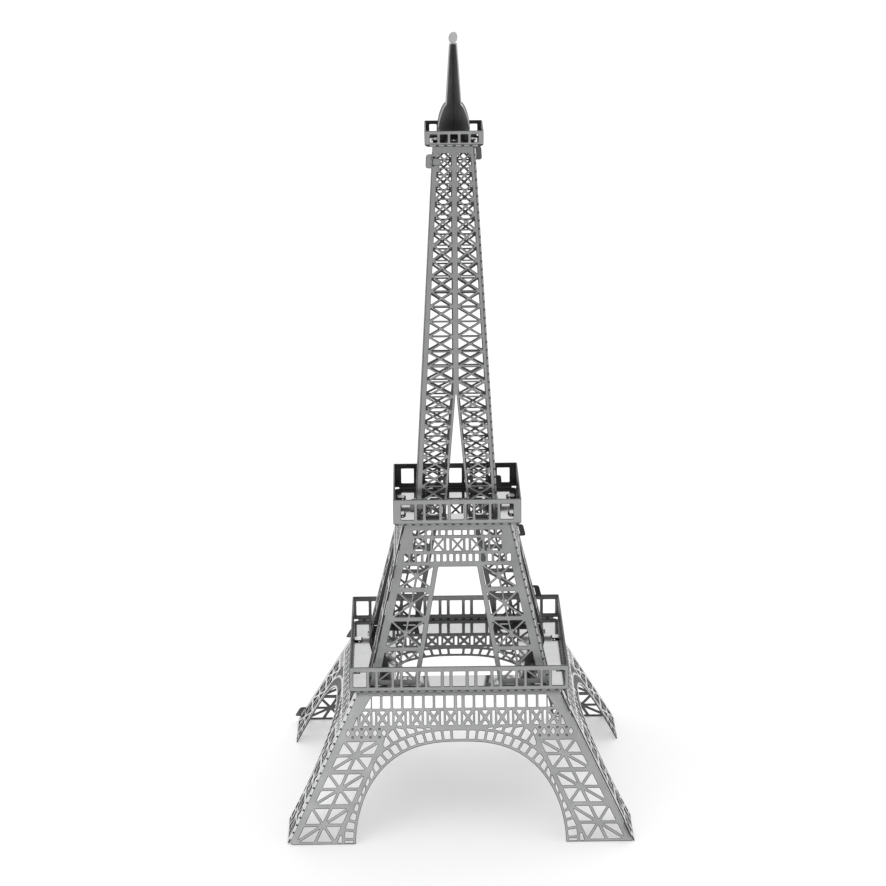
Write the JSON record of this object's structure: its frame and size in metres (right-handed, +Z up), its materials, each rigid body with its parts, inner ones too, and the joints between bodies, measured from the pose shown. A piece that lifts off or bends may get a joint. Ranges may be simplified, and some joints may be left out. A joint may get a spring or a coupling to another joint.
{
  "type": "miniature lattice tower model",
  "caption": "Miniature square lattice tower folded from thin stainless sheet, with arched legs, three railed platforms and a crossed-plate spire.",
  "frame": {"origin": "centre of the square that the four feet stand on, at the level of the surface under them", "axes": "+Z up along the tower's axis, towards the disc; the front face looks along -Y and +X is to its right"},
  "size_m": [0.0604, 0.0604, 0.1356],
  "materials": {
    "stainless_sheet": "fine brushed stainless sheet, bright on upward faces"
  },
  "bodies": {
    "root": {"lower_legs_front_left": "stainless_sheet", "lower_legs_rear_right": "stainless_sheet", "first_platform": "stainless_sheet", "middle_legs_front_right": "stainless_sheet", "middle_legs_rear_left": "stainless_sheet", "second_platform": "stainless_sheet", "upper_tower_front_right": "stainless_sheet", "upper_tower_rear_left": "stainless_sheet", "top_platform": "stainless_sheet", "spire_plate_with_disc": "stainless_sheet", "spire_cross_plate": "stainless_sheet"}
  },
  "joints": []
}
